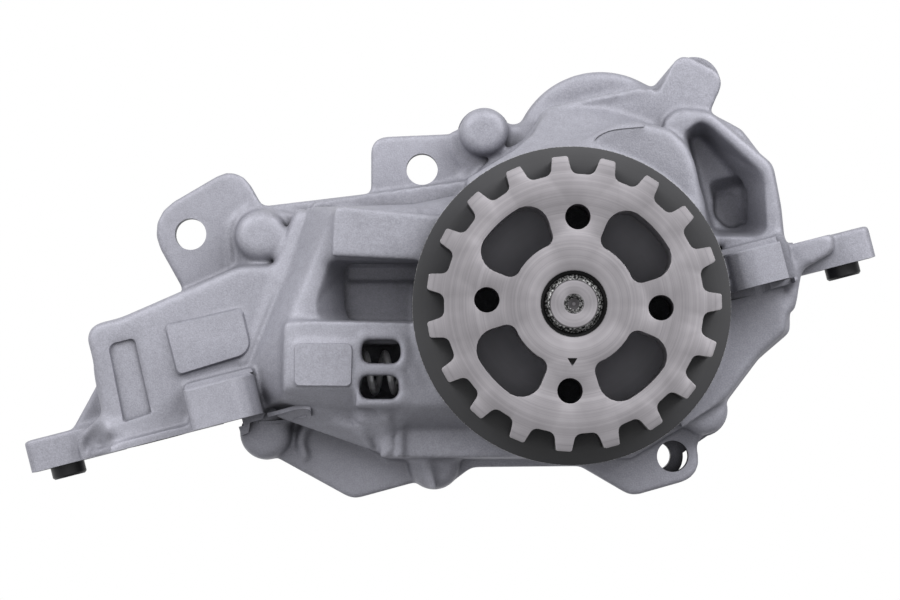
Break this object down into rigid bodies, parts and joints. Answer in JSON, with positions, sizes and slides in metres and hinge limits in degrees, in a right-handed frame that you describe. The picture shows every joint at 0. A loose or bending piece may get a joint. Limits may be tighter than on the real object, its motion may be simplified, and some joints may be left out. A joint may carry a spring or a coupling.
{
  "type": "variable displacement engine oil pump",
  "caption": "Engine oil pump with a toothed drive pulley, cast aluminium housing, vane rotor in a swinging control ring, relief valve and rear cover.",
  "frame": {"origin": "centre of the pulley's front face, on the shaft axis", "axes": "+X along the mounting face towards the right foot seen from the pulley, +Y along the shaft from the pulley to the cover, +Z square to the mounting face, away from the engine block"},
  "size_m": [0.1742, 0.0607, 0.0845],
  "materials": {
    "cast_housing": "die cast, fine matte grain",
    "cast_cover": "die cast, machined joint face",
    "sintered_steel": "sintered steel with a turned face",
    "black_flange": "black oxide, matte",
    "ground_steel": "ground steel",
    "pump_steel": "sintered steel",
    "ring_steel": "sintered steel",
    "seal_polymer": "moulded seal bar",
    "elastomer": "elastomer",
    "spring_steel": "bright spring wire",
    "bearing_bronze": "plain bearing bronze",
    "plated_screws": "phosphated steel",
    "dark_dowels": "black oxide steel"
  },
  "bodies": {
    "housing": {"housing": "cast_housing", "cover": "cast_cover", "cover_screws": "plated_screws", "cover_dowels": "ground_steel", "mounting_dowels": "dark_dowels", "pivot_pin": "ground_steel", "spring_seat": "ground_steel", "control_spring": "spring_steel", "front_bush": "bearing_bronze", "rear_bush": "bearing_bronze", "relief_plug": "plated_screws", "relief_spring": "spring_steel", "outlet_seal": "elastomer", "inlet_seal": "elastomer"},
    "drive": {"pulley": "sintered_steel", "pulley_flange": "black_flange", "drive_shaft": "ground_steel", "rotor": "pump_steel", "vanes": "pump_steel", "front_vane_ring": "pump_steel", "rear_vane_ring": "pump_steel"},
    "ring": {"control_ring": "ring_steel", "ring_seal": "seal_polymer", "seal_backing": "elastomer"},
    "relief": {"relief_piston": "ground_steel"}
  },
  "joints": [
    {"name": "drive_spin", "type": "hinge", "parent": "housing", "child": "drive", "pos_m": [0, 0, 0], "axis": [0, 1, 0], "continuous": true},
    {"name": "ring_swing", "type": "hinge", "parent": "housing", "child": "ring", "pos_m": [0.01214, 0.03775, 0.02517], "axis": [0, 1, 0], "range_deg": [0, 4], "stiffness_Nm_per_rad": 4, "springref_deg": -5.73, "deforming": ["control_spring"]},
    {"name": "relief_slide", "type": "slide", "parent": "housing", "child": "relief", "axis": [-1, 0, 0], "range_m": [0, 0.005], "stiffness_N_per_m": 1500, "springref_m": -0.002, "deforming": ["relief_spring"]}
  ]
}
